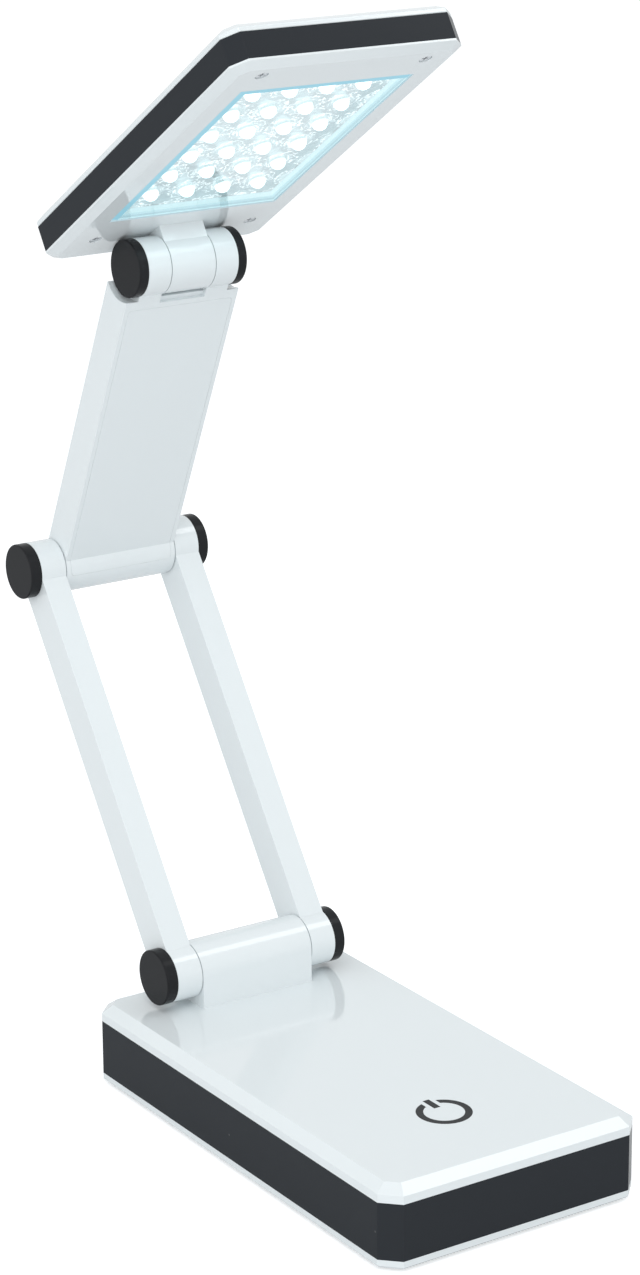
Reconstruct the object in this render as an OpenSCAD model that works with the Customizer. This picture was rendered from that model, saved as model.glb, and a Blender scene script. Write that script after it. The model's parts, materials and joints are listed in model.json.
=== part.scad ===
// Folding desk lamp: a flat battery base, two lower rails, a boxed upper arm and a flat light head.
// X runs along the three hinge axes, -Y is the front, +Z is up. The origin lies on the plane that
// the feet stand on, midway between the front of the base and the back of the elbow. Millimetres.

/* [Base] */
// Width of the base
base_w = 85; // [84:0.5:110]
// Length of the base
base_l = 153; // [150:0.5:200]
// Cut across each upright corner of the base
base_corner = 5; // [3:0.5:6]
// How far the rubber feet stand out below the base
foot_h = 1; // [0.8:0.1:3]
// Diameter of the rubber feet
foot_d = 10; // [8:0.5:11]
// Thickness of the bottom cover
floor_t = 2.4; // [2.2:0.1:4]
// Height of the dark band round the base
band_h = 16.6; // [16.4:0.1:26]
// Thickness of the dark bands of base and head
band_t = 2; // [1.6:0.1:2.4]
// Height of the upright rim of the top cover
rim_h = 2.4; // [2:0.1:4]
// Width of the bevel round the top cover
bevel_w = 3.2; // [2:0.1:4]
// Height of the bevel round the top cover
bevel_h = 2.4; // [1.5:0.1:4]
// Thickness of the top cover over the hollow
roof_t = 2; // [1.6:0.1:2.4]

/* [Power mark] */
// Outer diameter of the ring on the touch switch
mark_d = 15.6; // [12:0.2:20]
// Width of the ring's line
mark_line = 2; // [1.2:0.1:2.4]
// Depth of the inlaid mark
mark_depth = 0.6; // [0.3:0.1:1]
// Distance of the mark from the front edge of the base
mark_from_front = 32.2; // [26:0.2:40]
// Distance of the mark from the middle of the base, towards the left
mark_left = 1.6; // [0:0.2:4]

/* [Batteries] */
// Diameter of an AA cell
cell_d = 14.5; // [13:0.1:15]
// Length of an AA cell with its nub
cell_l = 50.5; // [46:0.1:51]
// Number of cells side by side
cell_count = 4; // [2:1:4]
// Gap between neighbouring cells
cell_gap = 0.3; // [0.1:0.1:0.6]
// Distance of the battery bay's front wall from the middle of the base
bay_front = 12; // [8:0.5:14]
// Thickness of the battery bay's walls
bay_wall = 1.4; // [1:0.1:2]

/* [Hinges] */
// Diameter of the barrels at base and elbow
barrel_d = 16.6; // [15:0.1:19]
// Diameter of the barrel at the neck
neck_d = 16.8; // [15:0.1:17]
// Width of the pedestal barrel and of the upper arm with its elbow barrel
pedestal_w = 37.8; // [37:0.2:46]
// Gap between two hinge members, which a washer fills
hinge_gap = 0.3; // [0.25:0.05:0.8]
// Height of the base hinge axis above the top cover
base_axis_h = 9.8; // [9.6:0.1:16]
// Distance of the base hinge axis from the rear edge
base_axis_back = 15.7; // [14:0.1:20]
// Thickness of the black caps at base and elbow
cap_t = 3.6; // [2:0.1:5]
// Thickness of the black caps at the neck
neck_cap_t = 3; // [2:0.1:4]
// Outer diameter of the hollow hinge axles
axle_d = 7; // [6:0.1:8]
// Bore of the hollow hinge axles
axle_bore = 4; // [3.4:0.1:4.6]
// Radial running clearance of an axle in its bore
axle_fit = 0.05; // [0.02:0.01:0.1]
// Depth of the pocket for the axle nut in each outer hinge member
pocket_depth = 4; // [3.6:0.1:4.6]
// Diameter of the axle nuts
nut_d = 9.5; // [9:0.1:10]
// Thickness of the axle nuts
nut_t = 1.2; // [0.8:0.1:1.6]

/* [Lower arm] */
// Distance between the base hinge and the elbow
lower_len = 129.3; // [115:0.1:135]
// Width of each rail
rail_w = 8.2; // [7.2:0.1:10]
// Depth of each rail
rail_t = 12.1; // [11:0.1:14]
// Angle of the lower arm, up from the front
lower_angle = 125.2; // [90:0.2:135]

/* [Upper arm] */
// Distance between the elbow and the neck
upper_len = 108; // [95:0.5:115]
// Depth of the upper arm
upper_t = 11.4; // [10.4:0.1:13]
// Width of the strip beside the upper arm's front cover
arm_strip = 1.5; // [1.2:0.1:2.4]
// Thickness of the upper arm's side and back walls
upper_wall = 1.6; // [1.4:0.1:2]
// Angle of the upper arm, up from the front
upper_angle = 65.4; // [40:0.2:90]
// Width of the head's knuckle between the neck ears
knuckle_w = 14.4; // [13:0.1:16]
// Width of each neck ear
ear_w = 7.4; // [7:0.1:7.6]

/* [Head] */
// Width of the head
head_w = 73; // [70:0.5:85]
// Length of the head
head_l = 125.8; // [123:0.2:150]
// How far the head reaches behind the neck axis
head_back = 11.8; // [10:0.1:16]
// Cut across each upright corner of the head
head_corner = 4; // [3:0.5:6]
// Distance of the lit face from the neck axis
head_drop = 8.8; // [8.7:0.1:11]
// Height of the front cover outside the band
front_h = 2.3; // [2:0.1:3]
// Height of the dark band round the head
head_band_h = 7.6; // [7.4:0.1:10]
// Height of the back cover outside the band
back_h = 3.4; // [3:0.1:5]
// Width of the bevel of the head's covers
head_bevel_w = 2.8; // [2:0.1:3]
// Thickness of the head's covers
head_wall = 1.6; // [1.2:0.1:1.8]
// Angle of the head's length, up from the front
head_angle = 32.8; // [10:0.2:50]

/* [Light] */
// Width of the window
window_w = 54.8; // [50:0.2:56]
// Length of the window
window_l = 83; // [76:0.5:86]
// Distance of the window from the front end of the head
window_from_front = 15.8; // [12:0.1:20]
// Thickness of the flange round the clear window
pane_flange_t = 0.8; // [0.6:0.1:1]
// Distance of the reflector's floor behind the lit face
reflector_depth = 5; // [4:0.1:5.4]
// Number of lights across the head
led_cols = 4; // [2:1:4]
// Number of lights along the head
led_rows = 6; // [3:1:6]
// Spacing of the lights across the head
led_pitch_x = 11.8; // [9:0.1:12]
// Spacing of the lights along the head
led_pitch_z = 12.7; // [9:0.1:13]
// Diameter of a light
led_d = 4.5; // [3:0.5:6]
// Height of a light above its board
led_h = 5.8; // [5:0.1:6.2]

/* [Fasteners] */
// Diameter of the screws
screw_d = 2.9; // [2.5:0.1:3]
// Diameter of the screw heads
screw_head_d = 5.4; // [4.8:0.1:5.6]
// Height of the screw heads
screw_head_h = 1.6; // [1.2:0.1:1.8]
// Diameter of the small screws in the head
small_screw_d = 1.9; // [1.6:0.1:2.2]
// Diameter of the small screws' heads
small_head_d = 3.4; // [3:0.1:4]
// Height of the small screws' heads
small_head_h = 1.2; // [0.9:0.1:1.4]

/* [Hidden] */
$fn = 64;

// Colours
white = [0.89, 0.92, 0.93];
black = [0.16, 0.17, 0.18];
steel = [0.72, 0.73, 0.75];
green = [0.10, 0.36, 0.20];
copper = [0.80, 0.50, 0.25];

// Small overlap of cutting tools past a face, and the thin slice that ends a bevel
over = 0.1;
slice = 0.01;
// Clearance between pieces that are pushed together by hand
fit_gap = 0.15;
// Clearance of a washer's faces and of a nut round its axle
washer_gap = 0.05;
// Locating lips of the covers inside the dark bands
lip_h = 1.6;
lip_t = 1.2;

// Heights of the base
z_bottom = foot_h;
z_floor = z_bottom + floor_t;
z_band = z_floor + band_h;
z_rim = z_band + rim_h;
z_top = z_rim + bevel_h;
z_roof = z_top - roof_t;
edge_chamfer = 0.6;
cover_wall = band_t + fit_gap + lip_t;

// Places of the hinge axes; hinge_back and the base's own pieces count from the base's middle
hinge_back = base_l / 2 - base_axis_back;
base_y = (base_l / 2 - hinge_back + lower_len * cos(lower_angle) - barrel_d / 2) / 2;
base_axis_y = base_y + hinge_back;
base_axis_z = z_top + base_axis_h;
elbow_y = base_axis_y - lower_len * cos(lower_angle);
elbow_z = base_axis_z + lower_len * sin(lower_angle);
neck_y = elbow_y - upper_len * cos(upper_angle);
neck_z = elbow_z + upper_len * sin(upper_angle);

// Widths of the two wide hinges, measured from the middle
rail_in = pedestal_w / 2 + hinge_gap;
rail_out = rail_in + rail_w;
// Widths of the neck hinge, measured from the middle
ear_in = knuckle_w / 2 + hinge_gap;
ear_out = ear_in + ear_w;

// Axle seats
wire_d = 1.2;
bearing_d = axle_d + 2 * axle_fit;
pocket_d = nut_d + 1.5;
cap_spigot_l = pocket_depth - nut_t - wire_d - 0.4;
cap_spigot_wall = 1.2;
washer_d = barrel_d - 3;
wide_axle_end = rail_out - pocket_depth + nut_t;
neck_axle_end = ear_out - pocket_depth + nut_t;

// Wires: two insulated strands side by side
wire_offset = 0.7;
wire_bend = 2;
wire_start = axle_d / 2 + wire_d;
wide_wire_x = wide_axle_end + wire_d / 2 + 0.1;
neck_wire_x = neck_axle_end + wire_d / 2 + 0.1;
wire_way = wire_d + 0.2;

// Battery bay
cell_pitch = cell_d + cell_gap;
bay_l = cell_count * cell_pitch + 0.4;
contact_t = 0.4;
spring_l = 5.2;
bay_half_w = (cell_l + spring_l) / 2 + contact_t;
cell_axis_z = z_floor + cell_d / 2 + 0.1;
bay_top = cell_axis_z + cell_d / 2 + 0.4;
nub_d = 0.37 * cell_d;
nub_l = 1.2;
contact_w = 0.76 * cell_d;
contact_h = 0.83 * cell_d;
spring_r0 = 0.31 * cell_d;
spring_r1 = 0.165 * cell_d;
spring_wire_d = 0.7;

// Screws of the base: one at each corner, above the feet
boss_d = 7;
boss_inset = 8;
boss_x = base_w / 2 - boss_inset;
boss_y = base_l / 2 - boss_inset;
boss_split = z_floor + 7;
foot_pocket = 0.6;
base_head_z = z_bottom + foot_pocket + screw_head_h + 0.3;
base_screw_l = 14;
pilot_gap = 0.1;

// Battery door: its tongues slide between the feet
door_panel_t = 1.1;
door_tongue = 1.2;
door_gap = 0.15;
door_foot_gap = 0.45;
door_half_w = min(bay_half_w - 0.4, boss_x - foot_d / 2 - door_foot_gap - door_tongue);
door_front = -bay_front - 2;
door_top = z_floor - 0.2;

// Control board
board_t = 1.6;
board_half_w = base_w / 2 - 12;
board_front = -base_l / 2 + 12;
board_back = -bay_front - bay_wall - 3;
board_z = z_floor + 8;
stand_inset = 4;
plug_w = 8;
plug_l = 6;
plug_h = 4;
plug_y = board_back - plug_l / 2 - 2;
chip_w = 8;
chip_h = 2;
choke_l = 6;
choke_h = 3;
capacitor_d = 6;
capacitor_h = 5;
part_x = 0.59 * board_half_w;
mark_y = -base_l / 2 + mark_from_front;

// Power socket in the rear wall
socket_w = 9;
socket_h = 10;
socket_l = 11;
socket_z = z_floor + 8;
socket_rear = base_l / 2 - band_t - fit_gap;
socket_hole_d = 6;
socket_pin_d = 2;

// Upper arm, measured along it from the elbow
upper_w = pedestal_w;
scoop_gap = 1.2;
slot_gap = 0.4;
notch_d = 1.2;
notch_h = 1.3;
arm_end = upper_len - neck_d / 2 + 0.4;
cover_half_w = upper_w / 2 - arm_strip;
arm_cover_t = 1.8;
arm_cover_start = 1.9;
arm_cover_corner = 1.2;
arm_cover_end = arm_end - 3;
arm_hollow_start = barrel_d / 2 + 2;
arm_hollow_end = upper_len - 20;
arm_screw_z = [arm_hollow_start + 12, arm_hollow_end - 8];
arm_boss_d = screw_head_d + 3;
arm_head_y = upper_t / 2 - screw_head_h - 0.2;
arm_screw_l = 0.8 * (arm_head_y + upper_t / 2 - arm_cover_t);

// Rails, measured along them from the base hinge
rail_wall = 1.4;
rail_cover_t = 1.4;
rail_hollow_start = barrel_d / 2 + 5;
rail_hollow_end = lower_len - rail_hollow_start;

// Depths of the head, measured behind the neck axis
y_face = head_drop;
y_front_band = y_face + front_h;
y_back_band = y_front_band + head_band_h;
y_back = y_back_band + back_h;
y_hollow_back = y_back - head_wall;
y_reflector = y_face + reflector_depth;
head_front_z = head_l - head_back;
window_z1 = head_front_z - window_from_front;
window_z0 = window_z1 - window_l;
window_mid = (window_z0 + window_z1) / 2;
front_rim_h = 0.6;
back_rim_h = 1.4;
pane_recess = 0.2;
pane_flange = 1.2;
pane_back = y_face + head_wall + pane_flange_t;
y_board = pane_back + 0.1 + led_h;
tray_wall = 1.2;
cup_depth = 1.6;
cup_r = min(led_d / 2 + 1.5, min(led_pitch_x, led_pitch_z) / 2 - 0.3);
head_board_t = 1.4;
head_screw_x = head_w / 2 - 10.7;
head_screw_z = [-head_back + 14.3, head_front_z - 6.8];
head_boss_d = small_head_d + 2;
y_head_screw = y_face + small_head_h + 0.3;
head_boss_split = y_front_band + 3;
head_screw_l = 7;
tab_front = 7.4;
tab_back = 6.5;

function unit(v) = v / norm(v);

// A path with each inner corner rounded by a curve that starts r before it
function rounded(p, r, n = 4) = [
    p[0],
    for (i = [1:len(p) - 2])
        for (k = [0:n])
            let (t = k / n,
                a = p[i] + r * unit(p[i - 1] - p[i]),
                b = p[i] + r * unit(p[i + 1] - p[i]))
            pow(1 - t, 2) * a + 2 * t * (1 - t) * p[i] + t * t * b,
    p[len(p) - 1]
];

// A round strand along a path; ref is a direction that the path never takes
module strand(path, d, ref, sides = 8) {
    n = len(path);
    points = [
        for (i = [0:n - 1])
            let (t = unit(path[min(i + 1, n - 1)] - path[max(i - 1, 0)]),
                a = unit(cross(t, ref)),
                b = cross(t, a))
            for (k = [0:sides - 1])
                path[i] + d / 2 * (cos(360 * k / sides) * a + sin(360 * k / sides) * b)
    ];
    start_face = [for (k = [0:sides - 1]) k];
    end_face = [for (k = [0:sides - 1]) n * sides - 1 - k];
    side_faces = [
        for (i = [0:n - 2])
            for (k = [0:sides - 1])
                let (a = i * sides + k, b = i * sides + (k + 1) % sides)
                each [[a, a + sides, b], [b, a + sides, b + sides]]
    ];
    polyhedron(points, concat([start_face, end_face], side_faces));
}

// Rectangle with its four corners cut off
module cut_rect(w, l, c) {
    polygon([
        [w / 2 - c, -l / 2], [w / 2, -l / 2 + c], [w / 2, l / 2 - c], [w / 2 - c, l / 2],
        [-w / 2 + c, l / 2], [-w / 2, l / 2 - c], [-w / 2, -l / 2 + c], [-w / 2 + c, -l / 2]
    ]);
}

// Outline of the base, drawn in by an inset; the corner cuts keep an even wall
module base_plan(inset = 0) {
    cut_rect(base_w - 2 * inset, base_l - 2 * inset, base_corner - inset * (2 - sqrt(2)));
}

// Upright ring between two insets of the base outline
module base_ring(z0, z1, outer, inner) {
    translate([0, 0, z0])
        linear_extrude(z1 - z0)
            difference() {
                base_plan(outer);
                base_plan(inner);
            }
}

// Outline of the head, in the plane of X and its length
module head_plan(inset = 0) {
    translate([0, head_l / 2 - head_back])
        cut_rect(head_w - 2 * inset, head_l - 2 * inset, head_corner - inset * (2 - sqrt(2)));
}

// Slab with its flat faces at y0 and y1, from a drawing in X and Z
module slab(y0, y1) {
    translate([0, y1, 0])
        rotate([90, 0, 0])
            linear_extrude(y1 - y0)
                children();
}

// Solid between x0 and x1, from a drawing in Y and Z
module across(x0, x1) {
    translate([x0, 0, 0])
        rotate([90, 0, 90])
            linear_extrude(x1 - x0)
                children();
}

// Cylinder along X between x0 and x1
module bar_x(x0, x1, d) {
    translate([x0, 0, 0])
        rotate([0, 90, 0])
            cylinder(h = x1 - x0, d = d);
}

// Cylinder along Y between y0 and y1
module bar_y(y0, y1, d) {
    translate([0, y0, 0])
        rotate([-90, 0, 0])
            cylinder(h = y1 - y0, d = d);
}

// Box between two corners
module block(a, b) {
    translate(a)
        cube(b - a);
}

module at_base() {
    translate([0, base_y, 0])
        children();
}

// Frames of the moving pieces: X along the hinge, Z along the arm, -Y on its front side
module at_base_hinge(angle = 90) {
    translate([0, base_axis_y, base_axis_z])
        rotate([90 - angle, 0, 0])
            children();
}

module at_elbow(angle = 90) {
    translate([0, elbow_y, elbow_z])
        rotate([90 - angle, 0, 0])
            children();
}

module at_neck(angle = 90) {
    translate([0, neck_y, neck_z])
        rotate([90 - angle, 0, 0])
            children();
}

module mirrored_x() {
    children();
    mirror([1, 0, 0])
        children();
}

module at_base_corners() {
    for (x = [-boss_x, boss_x], y = [-boss_y, boss_y])
        translate([x, y, 0])
            children();
}

module at_board_stands() {
    for (x = [-1, 1] * (board_half_w - stand_inset),
        y = [board_front + stand_inset, board_back - stand_inset])
        translate([x, y, 0])
            children();
}

// ---------------------------------------------------------------- base

// Outside of the bottom cover, with its lower edge chamfered
module bottom_outline() {
    hull() {
        translate([0, 0, z_bottom])
            linear_extrude(floor_t - over)
                base_plan(edge_chamfer);
        translate([0, 0, z_bottom + edge_chamfer])
            linear_extrude(floor_t - edge_chamfer)
                base_plan();
    }
}

// Way for the battery door and its tongues, open to the rear
module door_way() {
    rear = base_l / 2 + over;
    block([-door_half_w - door_gap, door_front - door_gap, z_bottom - over],
        [door_half_w + door_gap, rear, z_floor + over]);
    block([-door_half_w - door_tongue - door_gap, door_front - door_gap, z_bottom + door_panel_t],
        [door_half_w + door_tongue + door_gap, rear, z_floor + over]);
}

module base_bottom_cover() color(white) at_base() {
    difference() {
        union() {
            bottom_outline();
            // Lip inside the band, left out where the door slides through
            difference() {
                base_ring(z_floor - over, z_floor + lip_h, band_t + fit_gap, cover_wall);
                block([-door_half_w - 3, 0, z_floor - 2 * over],
                    [door_half_w + 3, base_l / 2, z_floor + lip_h + over]);
            }
            // Battery bay: four walls and a roof
            difference() {
                block([-bay_half_w - bay_wall, -bay_front - bay_wall, z_floor - over],
                    [bay_half_w + bay_wall, -bay_front + bay_l + bay_wall, bay_top + bay_wall]);
                block([-bay_half_w, -bay_front, z_bottom],
                    [bay_half_w, -bay_front + bay_l, bay_top]);
            }
            at_base_corners()
                translate([0, 0, z_floor - over])
                    cylinder(h = boss_split - z_floor + over, d = boss_d);
            // Stands of the control board, with pins through it
            at_board_stands() {
                translate([0, 0, z_floor - over])
                    cylinder(h = board_z - z_floor + over, d = 4);
                translate([0, 0, board_z - over])
                    cylinder(h = board_t + 1, d = 1.8);
            }
        }
        door_way();
        // Feet and screws
        at_base_corners() {
            translate([0, 0, z_bottom - over])
                cylinder(h = foot_pocket + over, d = foot_d + 2 * fit_gap);
            translate([0, 0, z_bottom])
                cylinder(h = base_head_z - z_bottom, d = screw_head_d + 0.6);
            translate([0, 0, z_bottom])
                cylinder(h = boss_split, d = screw_d + 0.5);
        }
    }
}

module battery_door() color(white) at_base() {
    grip_y = base_l / 2 - 14;
    difference() {
        intersection() {
            bottom_outline();
            union() {
                block([-door_half_w, door_front, z_bottom],
                    [door_half_w, base_l / 2, door_top]);
                block([-door_half_w - door_tongue, door_front, z_bottom + door_panel_t + door_gap],
                    [door_half_w + door_tongue, base_l / 2, door_top]);
            }
        }
        // Grip grooves
        for (i = [0:4])
            block([-9, grip_y + 1.8 * i, z_bottom - over], [9, grip_y + 1.8 * i + 0.9, z_bottom + 0.5]);
    }
}

module base_side_band() color(black) at_base() {
    difference() {
        base_ring(z_floor, z_band, 0, band_t);
        translate([0, base_l / 2 - band_t - over, socket_z])
            bar_y(0, band_t + 2 * over, socket_hole_d + 1);
    }
}

// Ring with a gap at the back and a bar in the gap; grow widens every line
module mark_shape(grow = 0) {
    bar_w = mark_line;
    gap_w = bar_w + 2.8;
    difference() {
        circle(d = mark_d + 2 * grow);
        circle(d = mark_d - 2 * mark_line - 2 * grow);
        translate([-gap_w / 2 + grow, 0])
            square([gap_w - 2 * grow, mark_d]);
    }
    translate([-bar_w / 2 - grow, mark_d / 2 - 4.6 - grow])
        square([bar_w + 2 * grow, 5.6 + 2 * grow]);
}

module pedestal_shape() {
    r = barrel_d / 2;
    across(-pedestal_w / 2, pedestal_w / 2) {
        translate([hinge_back, base_axis_z])
            circle(r = r);
        translate([hinge_back - r, z_roof])
            square([2 * r, base_axis_z - z_roof]);
    }
}

module base_top_cover() color(white) at_base() {
    difference() {
        union() {
            hull() {
                translate([0, 0, z_band])
                    linear_extrude(rim_h)
                        base_plan();
                translate([0, 0, z_top - slice])
                    linear_extrude(slice)
                        base_plan(bevel_w);
            }
            pedestal_shape();
            base_ring(z_band - lip_h, z_band + over, band_t + fit_gap, cover_wall);
        }
        // Hollow under the cover
        translate([0, 0, z_band - over])
            linear_extrude(z_roof - z_band + over)
                base_plan(cover_wall);
        // Axle bore and the wires' way down from it
        translate([0, hinge_back, base_axis_z])
            bar_x(-pedestal_w / 2 - over, pedestal_w / 2 + over, bearing_d);
        block([-4, hinge_back - 2.5, z_roof - over], [4, hinge_back + 2.5, base_axis_z]);
        translate([-mark_left, mark_y, z_top - mark_depth])
            linear_extrude(mark_depth + over)
                mark_shape(fit_gap / 3);
    }
    // Holder of the power socket, open at its bottom
    difference() {
        block([-socket_w / 2 - 1.4, socket_rear - socket_l - 1.4, socket_z - socket_h / 2],
            [socket_w / 2 + 1.4, socket_rear - lip_t - fit_gap, z_roof + over]);
        block([-socket_w / 2 - washer_gap, socket_rear - socket_l - washer_gap, 0],
            [socket_w / 2 + washer_gap, socket_rear, socket_z + socket_h / 2]);
    }
    // Screw bosses
    difference() {
        at_base_corners()
            translate([0, 0, boss_split])
                cylinder(h = z_roof + over - boss_split, d = boss_d);
        at_base_corners()
            translate([0, 0, boss_split - over])
                cylinder(h = base_head_z + base_screw_l + 0.5 - boss_split, d = screw_d + 2 * pilot_gap);
    }
}

module power_mark() color(black) at_base() {
    translate([-mark_left, mark_y, z_top - mark_depth])
        linear_extrude(mark_depth)
            mark_shape();
}

// Coil that rises from one plane to another, its radius going from r0 to r1
function coil(h, r0, r1, turns, steps) = [
    for (i = [0:turns * steps])
        let (t = i / (turns * steps), a = 360 * i / steps, r = r0 + (r1 - r0) * t)
        [r * cos(a), r * sin(a), h * t]
];

module touch_spring() color(steel) at_base() {
    low = board_z + board_t + spring_wire_d / 2 + washer_gap;
    high = z_roof - spring_wire_d / 2 - washer_gap;
    r = 0.26 * mark_d;
    translate([-mark_left, mark_y, low])
        strand(coil(high - low, r, r, 4, 12), spring_wire_d, [0, 0, 1], 6);
}

module control_board() color(green) at_base() {
    difference() {
        block([-board_half_w, board_front, board_z], [board_half_w, board_back, board_z + board_t]);
        at_board_stands()
            translate([0, 0, board_z - over])
                cylinder(h = board_t + 2 * over, d = 2);
    }
}

module board_parts() color(black) at_base() {
    z = board_z + board_t;
    // Touch controller and driver, beside the switch
    mirrored_x()
        translate([part_x - chip_w / 2, mark_y - chip_w / 2, z])
            cube([chip_w, chip_w, chip_h]);
    // Choke, two capacitors and the wires' connector, along the back edge
    translate([-part_x - chip_w / 2, plug_y - choke_l / 2, z])
        cube([chip_w, choke_l, choke_h]);
    for (x = [part_x, part_x - capacitor_d - 1])
        translate([x, plug_y, z])
            cylinder(h = capacitor_h, d = capacitor_d);
    translate([-plug_w / 2, plug_y - plug_l / 2, z])
        cube([plug_w, plug_l, plug_h]);
}

module power_socket() color(black) at_base() {
    front = socket_rear - socket_l;
    difference() {
        block([-socket_w / 2, front, socket_z - socket_h / 2],
            [socket_w / 2, socket_rear, socket_z + socket_h / 2]);
        translate([0, 0, socket_z])
            bar_y(front + 2, socket_rear + over, socket_hole_d);
    }
    translate([0, 0, socket_z])
        bar_y(front + 1, socket_rear - 1, socket_pin_d);
}

// Runs its children once for each cell, at the cell's middle; odd cells point the other way
module at_cells() {
    for (i = [0:cell_count - 1])
        translate([0, -bay_front + 0.2 + (i + 0.5) * cell_pitch, cell_axis_z])
            mirror([i % 2, 0, 0])
                children();
}

module battery_cells() color(copper) at_base() {
    at_cells() {
        bar_x(bay_half_w - contact_t - cell_l, bay_half_w - contact_t - nub_l, cell_d);
        bar_x(bay_half_w - contact_t - nub_l - over, bay_half_w - contact_t, nub_d);
    }
}

module battery_contacts() color(steel) at_base() {
    at_cells()
        mirrored_x()
            block([bay_half_w - contact_t, -contact_w / 2, -contact_h / 2],
                [bay_half_w, contact_w / 2, contact_h / 2]);
}

module battery_springs() color(steel) at_base() {
    free = spring_l - spring_wire_d - 2 * washer_gap;
    at_cells()
        translate([-bay_half_w + contact_t + spring_wire_d / 2 + washer_gap, 0, 0])
            rotate([0, 90, 0])
                strand(coil(free, spring_r0, spring_r1, 4, 12), spring_wire_d, [0, 0, 1], 6);
}

// Screw that points up, with the underside of its head at the origin
module screw(l, d, head_d, head_h) {
    difference() {
        union() {
            translate([0, 0, -head_h])
                cylinder(h = head_h, d = head_d);
            translate([0, 0, -over])
                cylinder(h = l + over, d = d);
        }
        // Cross recess
        for (a = [0, 90])
            rotate([0, 0, a])
                block([-0.3 * head_d, -0.06 * head_d, -head_h - over],
                    [0.3 * head_d, 0.06 * head_d, -head_h / 2]);
    }
}

module base_screws() color(steel) at_base() {
    at_base_corners()
        translate([0, 0, base_head_z])
            screw(base_screw_l, screw_d, screw_head_d, screw_head_h);
}

module rubber_feet() color(black) at_base() {
    at_base_corners()
        rotate_extrude()
            polygon([[0, 0], [foot_d / 2 - 0.4, 0], [foot_d / 2, 0.4],
                [foot_d / 2, foot_h + foot_pocket], [0, foot_h + foot_pocket]]);
}

module base_wires() color([0.75, 0.12, 0.10]) at_base() {
    low = board_z + board_t + plug_h + washer_gap;
    high = z_roof - wire_d;
    for (s = [-1, 1])
        // From the board's connector, over the battery bay, up to the axle
        strand(rounded([
            [s * wire_offset, plug_y, low],
            [s * wire_offset, plug_y, high],
            [s * wire_offset, hinge_back, high],
            [s * wire_offset, hinge_back, base_axis_z - wire_start]
        ], wire_bend), wire_d, [1, 0, 0]);
}

// ---------------------------------------------------------------- hinges

// Hollow axle through a hinge, with a hole in the middle where the wires come in
module axle(end) {
    difference() {
        bar_x(-end, end, axle_d);
        bar_x(-end - over, end + over, axle_bore);
        translate([0, 0, -axle_d])
            cylinder(h = 2 * axle_d, d = 3.2);
    }
}

module axle_nuts(end) {
    mirrored_x()
        difference() {
            bar_x(end - nut_t, end, nut_d);
            bar_x(end - nut_t - over, end + over, axle_d + 2 * washer_gap);
        }
}

module washers(x, d) {
    mirrored_x()
        difference() {
            bar_x(x + washer_gap, x + hinge_gap - washer_gap, d);
            bar_x(x, x + hinge_gap, bearing_d + 0.1);
        }
}

// Round cap whose spigot plugs into a pocket; its outer edge is chamfered
module cap(x, t, d) {
    edge = 0.25;
    spigot_r = pocket_d / 2 - 0.05;
    translate([x, 0, 0])
        rotate([0, 90, 0])
            rotate_extrude()
                polygon([
                    [0, 0], [spigot_r - cap_spigot_wall, 0], [spigot_r - cap_spigot_wall, -cap_spigot_l],
                    [spigot_r, -cap_spigot_l], [spigot_r, 0], [d / 2, 0], [d / 2, t - edge],
                    [d / 2 - edge, t], [0, t]
                ]);
}

module base_axle() color(steel) at_base_hinge() axle(wide_axle_end);

module base_axle_nuts() color(steel) at_base_hinge() axle_nuts(wide_axle_end);

module base_washers() color(steel) at_base_hinge() washers(pedestal_w / 2, washer_d);

module elbow_axle() color(steel) at_elbow() axle(wide_axle_end);

module elbow_axle_nuts() color(steel) at_elbow() axle_nuts(wide_axle_end);

module elbow_washers() color(steel) at_elbow() washers(pedestal_w / 2, washer_d);

module neck_axle() color(steel) at_neck() axle(neck_axle_end);

module neck_axle_nuts() color(steel) at_neck() axle_nuts(neck_axle_end);

module neck_washers() color(steel) at_neck() washers(knuckle_w / 2, washer_d);

module base_hinge_caps() color(black)
    at_base_hinge(lower_angle)
        mirrored_x()
            cap(rail_out, cap_t, barrel_d);

module elbow_caps() color(black)
    at_elbow(lower_angle)
        mirrored_x()
            cap(rail_out, cap_t, barrel_d);

module neck_caps() color(black)
    at_neck(upper_angle)
        mirrored_x()
            cap(ear_out, neck_cap_t, neck_d);

// ---------------------------------------------------------------- lower arm

// Hole, nut pocket and wire way of one rail end; up is the way towards the rail's middle
module rail_end_cuts(up) {
    bar_x(rail_in - over, rail_out + over, bearing_d);
    bar_x(rail_out - pocket_depth, rail_out + over, pocket_d);
    reach = up * (rail_hollow_start + over);
    block([wide_axle_end, -wire_offset - wire_way / 2, min(0, reach)],
        [wide_axle_end + wire_way, wire_offset + wire_way / 2, max(0, reach)]);
}

// Rail on the +X side
module rail() {
    difference() {
        across(rail_in, rail_out) {
            circle(d = barrel_d);
            translate([0, lower_len])
                circle(d = barrel_d);
            translate([-rail_t / 2, 0])
                square([rail_t, lower_len]);
        }
        rail_end_cuts(1);
        translate([0, 0, lower_len])
            rail_end_cuts(-1);
        // Seat of the cover in the back face and the hollow under it
        block([rail_in + rail_wall - fit_gap / 3, rail_t / 2 - rail_cover_t, rail_hollow_start - 1],
            [rail_out - rail_wall + fit_gap / 3, rail_t, rail_hollow_end + 1]);
        block([rail_in + rail_wall + 0.8, rail_wall - rail_t / 2, rail_hollow_start],
            [wide_axle_end + wire_way, rail_t / 2 - rail_cover_t + over, rail_hollow_end]);
    }
}

module rail_cover() {
    block([rail_in + rail_wall, rail_t / 2 - rail_cover_t, rail_hollow_start - 1 + fit_gap / 3],
        [rail_out - rail_wall, rail_t / 2, rail_hollow_end + 1 - fit_gap / 3]);
}

module right_rail() color(white) at_base_hinge(lower_angle) rail();

module left_rail() color(white) at_base_hinge(lower_angle) mirror([1, 0, 0]) rail();

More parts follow.
